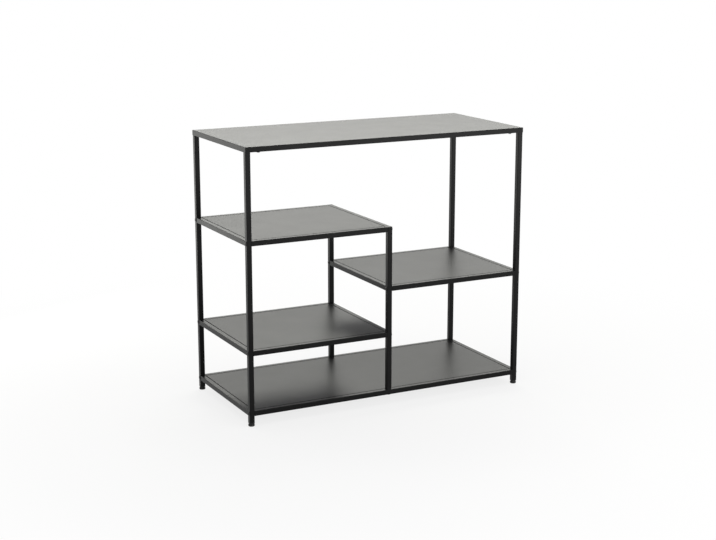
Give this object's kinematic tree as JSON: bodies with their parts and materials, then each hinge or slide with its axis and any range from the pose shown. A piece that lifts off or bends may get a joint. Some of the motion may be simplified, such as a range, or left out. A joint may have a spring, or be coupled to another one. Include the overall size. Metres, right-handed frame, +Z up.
{
  "type": "shelving unit",
  "caption": "Open black steel shelving unit: square-tube posts, thin top, full-width bottom shelf and staggered half-width shelves on levelling feet.",
  "frame": {"origin": "on the floor, under the middle of the unit", "axes": "+X to the right along the width, +Y to the rear along the depth, +Z up"},
  "size_m": [0.9024, 0.4026, 0.8],
  "materials": {
    "powder_coated_tube": "satin black powder coat",
    "powder_coated_sheet": "satin black powder coat, fine texture",
    "black_fasteners": "black oxide",
    "zinc_steel": "zinc plated",
    "black_plastic": "matte moulded"
  },
  "bodies": {
    "frame": {"bottom_shelf_bolts": "black_fasteners", "bottom_shelf_front_rail": "powder_coated_tube", "bottom_shelf_left_rail": "powder_coated_tube", "bottom_shelf_panel": "powder_coated_sheet", "bottom_shelf_rail_inserts": "zinc_steel", "bottom_shelf_rear_rail": "powder_coated_tube", "bottom_shelf_right_rail": "powder_coated_tube", "bottom_shelf_tabs": "powder_coated_tube", "foot_inserts": "black_plastic", "left_front_post": "powder_coated_tube", "left_rear_post": "powder_coated_tube", "lower_left_shelf_bolts": "black_fasteners", "lower_left_shelf_front_rail": "powder_coated_tube", "lower_left_shelf_left_rail": "powder_coated_tube", "lower_left_shelf_panel": "powder_coated_sheet", "lower_left_shelf_rail_inserts": "zinc_steel", "lower_left_shelf_rear_rail": "powder_coated_tube", "lower_left_shelf_right_rail": "powder_coated_tube", "lower_left_shelf_tabs": "powder_coated_tube", "middle_front_post": "powder_coated_tube", "middle_post_bolts": "black_fasteners", "middle_post_caps": "powder_coated_tube", "middle_post_inserts": "zinc_steel", "middle_rear_post": "powder_coated_tube", "post_top_plates": "powder_coated_tube", "right_front_post": "powder_coated_tube", "right_rear_post": "powder_coated_tube", "right_shelf_bolts": "black_fasteners", "right_shelf_front_rail": "powder_coated_tube", "right_shelf_left_rail": "powder_coated_tube", "right_shelf_panel": "powder_coated_sheet", "right_shelf_rail_inserts": "zinc_steel", "right_shelf_rear_rail": "powder_coated_tube", "right_shelf_right_rail": "powder_coated_tube", "right_shelf_tabs": "powder_coated_tube", "top_front_channel": "powder_coated_tube", "top_nuts": "zinc_steel", "top_panel": "powder_coated_sheet", "top_rear_channel": "powder_coated_tube", "top_screws": "black_fasteners", "upper_left_shelf_bolts": "black_fasteners", "upper_left_shelf_front_rail": "powder_coated_tube", "upper_left_shelf_left_rail": "powder_coated_tube", "upper_left_shelf_panel": "powder_coated_sheet", "upper_left_shelf_rail_inserts": "zinc_steel", "upper_left_shelf_rear_rail": "powder_coated_tube", "upper_left_shelf_right_rail": "powder_coated_tube", "upper_left_shelf_tabs": "powder_coated_tube"},
    "front_left_foot": {"front_left_foot_pad": "black_plastic", "front_left_foot_stud": "zinc_steel"},
    "rear_left_foot": {"rear_left_foot_pad": "black_plastic", "rear_left_foot_stud": "zinc_steel"},
    "front_right_foot": {"front_right_foot_pad": "black_plastic", "front_right_foot_stud": "zinc_steel"},
    "rear_right_foot": {"rear_right_foot_pad": "black_plastic", "rear_right_foot_stud": "zinc_steel"}
  },
  "joints": [
    {"name": "front_left_foot_slide", "type": "slide", "parent": "frame", "child": "front_left_foot", "axis": [0, 0, -1], "range_m": [0, 0.01]},
    {"name": "rear_left_foot_slide", "type": "slide", "parent": "frame", "child": "rear_left_foot", "axis": [0, 0, -1], "range_m": [0, 0.01]},
    {"name": "front_right_foot_slide", "type": "slide", "parent": "frame", "child": "front_right_foot", "axis": [0, 0, -1], "range_m": [0, 0.01]},
    {"name": "rear_right_foot_slide", "type": "slide", "parent": "frame", "child": "rear_right_foot", "axis": [0, 0, -1], "range_m": [0, 0.01]}
  ]
}
